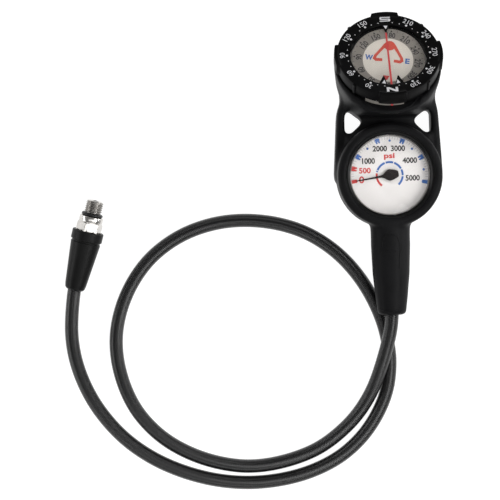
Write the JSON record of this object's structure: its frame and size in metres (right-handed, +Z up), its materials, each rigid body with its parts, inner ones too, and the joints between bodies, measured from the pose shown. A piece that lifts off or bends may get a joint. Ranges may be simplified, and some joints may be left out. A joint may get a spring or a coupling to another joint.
{
  "type": "dive gauge console with hose",
  "caption": "Inline dive console: pressure gauge and leaning rotating-bezel compass in a rubber boot, on a braided high-pressure hose with swivel, protector and threaded fitting.",
  "frame": {"origin": "on the floor under the gauge axis, in the plane of the console's flat back", "axes": "+Z up, out of the gauge face; +Y from the gauge towards the compass, along the console"},
  "size_m": [0.2421, 0.301, 0.0527],
  "materials": {
    "boot_rubber": "matt moulded rubber",
    "protector_rubber": "matt moulded rubber",
    "seal_rubber": "smooth, lightly greased",
    "case_black": "black enamel over brass",
    "brass": "turned",
    "plate_brass": "brushed plate",
    "tube_bronze": "drawn",
    "steel": "fine turned",
    "chrome": "bright plating",
    "dial_white": "matt print",
    "white_plastic": "moulded",
    "clear_lens": "clear polished",
    "black_gloss": "glossy",
    "needle_black": "matt paint",
    "bezel_plastic": "satin moulded",
    "braided_nylon": "braided",
    "magnet_grey": "sintered",
    "jewel_red": "polished"
  },
  "bodies": {
    "console": {"console_boot": "boot_rubber", "gauge_case": "case_black", "relief_plug": "seal_rubber", "gauge_stem": "brass", "bourdon_tube": "tube_bronze", "tube_tip": "brass", "lower_plate": "plate_brass", "upper_plate": "plate_brass", "plate_pillars": "brass", "plate_screws": "steel", "hairspring": "steel", "gauge_dial": "dial_white", "lens_o_ring": "seal_rubber", "gauge_lens": "clear_lens", "lens_ring": "black_gloss", "swivel_nut": "chrome", "hose_stem": "chrome", "stem_ferrule": "steel", "pressure_hose": "braided_nylon", "end_ferrule": "steel", "hose_protector": "protector_rubber", "port_fitting": "chrome", "fitting_o_ring": "seal_rubber", "bezel_o_ring": "seal_rubber", "capsule_dome": "clear_lens", "capsule_back": "white_plastic", "capsule_seal": "seal_rubber", "pivot_pin": "steel", "diaphragm": "seal_rubber", "diaphragm_ring": "white_plastic", "fill_screw": "steel"},
    "needle": {"pressure_needle": "needle_black", "pinion_arbor": "steel"},
    "sector": {"sector_gear": "plate_brass", "sector_arbor": "steel"},
    "link": {"tube_link": "steel"},
    "spool": {"air_spool": "chrome", "spool_o_rings": "seal_rubber"},
    "bezel": {"compass_bezel": "bezel_plastic"},
    "card": {"compass_card": "dial_white", "card_magnet": "magnet_grey", "jewel_cup": "jewel_red"}
  },
  "joints": [
    {"name": "sector_swing", "type": "hinge", "parent": "console", "child": "sector", "pos_m": [-0.00891, -0.00891, 0.0116], "axis": [0, 0, 1], "range_deg": [0, 25.12]},
    {"name": "needle_turn", "type": "hinge", "parent": "console", "child": "needle", "pos_m": [0, 0, 0.0213], "axis": [0, 0, -1], "range_deg": [0, 201]},
    {"name": "link_swing", "type": "hinge", "parent": "sector", "child": "link", "pos_m": [-0.00873, -0.00391, 0.0131], "axis": [0, 0, -1], "range_deg": [0, 25.12]},
    {"name": "spool_turn", "type": "hinge", "parent": "console", "child": "spool", "pos_m": [0, -0.038, 0.016], "axis": [0, 1, 0], "continuous": true},
    {"name": "bezel_turn", "type": "hinge", "parent": "console", "child": "bezel", "pos_m": [0, 0.0752, 0.0335], "axis": [0, 0.5592, 0.829], "continuous": true},
    {"name": "card_turn", "type": "hinge", "parent": "console", "child": "card", "pos_m": [0, 0.07129, 0.0277], "axis": [0, 0.4384, 0.8988], "continuous": true}
  ],
  "couplings": [
    {"joint": "needle_turn", "follows": "sector_swing", "ratio": 8},
    {"joint": "link_swing", "follows": "sector_swing", "ratio": 1}
  ]
}
